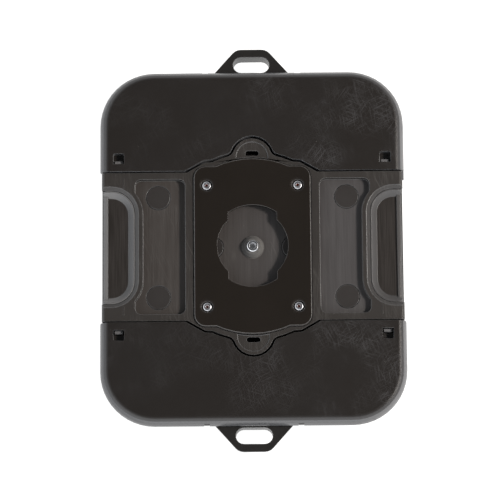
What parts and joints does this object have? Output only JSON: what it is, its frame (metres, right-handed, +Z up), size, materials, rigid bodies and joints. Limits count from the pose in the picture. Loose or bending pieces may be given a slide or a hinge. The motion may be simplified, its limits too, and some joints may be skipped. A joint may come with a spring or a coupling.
{
  "type": "bait station",
  "caption": "Low tamper-resistant rodent bait station: moulded case, fixed middle bridge with bayonet plate, and a hinged, latched lid over the bait at each end.",
  "frame": {"origin": "on the ground under the middle of the case", "axes": "+X east, across the case through the two entries; +Y north, along the case towards one strap loop; +Z up, out of the face with the plate"},
  "size_m": [0.2452, 0.3288, 0.048],
  "materials": {
    "case_plastic": "black satin moulded plastic",
    "lid_plastic": "black semi-gloss moulded plastic, lightly scratched",
    "bridge_plastic": "black semi-gloss moulded plastic",
    "grip_plastic": "black satin plastic",
    "plug_plastic": "matt black plastic",
    "powder_coat": "fine-textured brown-black powder coat",
    "bright_steel": "bright zinc-plated steel",
    "latch_plastic": "dark gray plastic",
    "inner_plastic": "matt black plastic",
    "tray_plastic": "dark gray plastic",
    "bait": "pressed wax and grain, blue-green",
    "foot_rubber": "black rubber"
  },
  "bodies": {
    "case": {"base_tray": "case_plastic", "centre_bridge": "bridge_plastic", "accessory_plate": "powder_coat", "stud_cone": "bridge_plastic", "centre_stud": "bright_steel", "baffle_north": "inner_plastic", "bait_tray_north": "tray_plastic", "bait_rod_north_1": "bright_steel", "bait_block_north_1_lower": "bait", "bait_block_north_1_upper": "bait", "bait_rod_north_2": "bright_steel", "bait_block_north_2_lower": "bait", "bait_block_north_2_upper": "bait", "baffle_south": "inner_plastic", "bait_tray_south": "tray_plastic", "bait_rod_south_1": "bright_steel", "bait_block_south_1_lower": "bait", "bait_block_south_1_upper": "bait", "bait_rod_south_2": "bright_steel", "bait_block_south_2_lower": "bait", "bait_block_south_2_upper": "bait", "grip_west": "grip_plastic", "recess_disc_west": "plug_plastic", "grip_east": "grip_plastic", "recess_disc_east": "plug_plastic", "pocket_disc_nw": "plug_plastic", "plate_screw_nw": "bright_steel", "hinge_pin_nw": "bright_steel", "bridge_screw_nw": "bright_steel", "foot_nw": "foot_rubber", "pocket_disc_ne": "plug_plastic", "plate_screw_ne": "bright_steel", "hinge_pin_ne": "bright_steel", "bridge_screw_ne": "bright_steel", "foot_ne": "foot_rubber", "pocket_disc_sw": "plug_plastic", "plate_screw_sw": "bright_steel", "hinge_pin_sw": "bright_steel", "bridge_screw_sw": "bright_steel", "foot_sw": "foot_rubber", "pocket_disc_se": "plug_plastic", "plate_screw_se": "bright_steel", "hinge_pin_se": "bright_steel", "bridge_screw_se": "bright_steel", "foot_se": "foot_rubber"},
    "lid_north": {"lid_north": "lid_plastic"},
    "lid_south": {"lid_south": "lid_plastic"},
    "latch_nw": {"latch_nw": "latch_plastic"},
    "latch_ne": {"latch_ne": "latch_plastic"},
    "latch_sw": {"latch_sw": "latch_plastic"},
    "latch_se": {"latch_se": "latch_plastic"}
  },
  "joints": [
    {"name": "lid_north_hinge", "type": "hinge", "parent": "case", "child": "lid_north", "pos_m": [0, 0.141, 0.0402], "axis": [-1, 0, 0], "range_deg": [0, 95]},
    {"name": "lid_south_hinge", "type": "hinge", "parent": "case", "child": "lid_south", "pos_m": [0, -0.141, 0.0402], "axis": [1, 0, 0], "range_deg": [0, 95]},
    {"name": "latch_nw_flex", "type": "hinge", "parent": "case", "child": "latch_nw", "pos_m": [-0.1073, 0.0687, 0.0305], "axis": [1, 0, 0], "range_deg": [0, 5], "stiffness_Nm_per_rad": 0.005},
    {"name": "latch_ne_flex", "type": "hinge", "parent": "case", "child": "latch_ne", "pos_m": [0.1073, 0.0687, 0.0305], "axis": [1, 0, 0], "range_deg": [0, 5], "stiffness_Nm_per_rad": 0.005},
    {"name": "latch_sw_flex", "type": "hinge", "parent": "case", "child": "latch_sw", "pos_m": [-0.1073, -0.0687, 0.0305], "axis": [-1, 0, 0], "range_deg": [0, 5], "stiffness_Nm_per_rad": 0.005},
    {"name": "latch_se_flex", "type": "hinge", "parent": "case", "child": "latch_se", "pos_m": [0.1073, -0.0687, 0.0305], "axis": [-1, 0, 0], "range_deg": [0, 5], "stiffness_Nm_per_rad": 0.005}
  ]
}
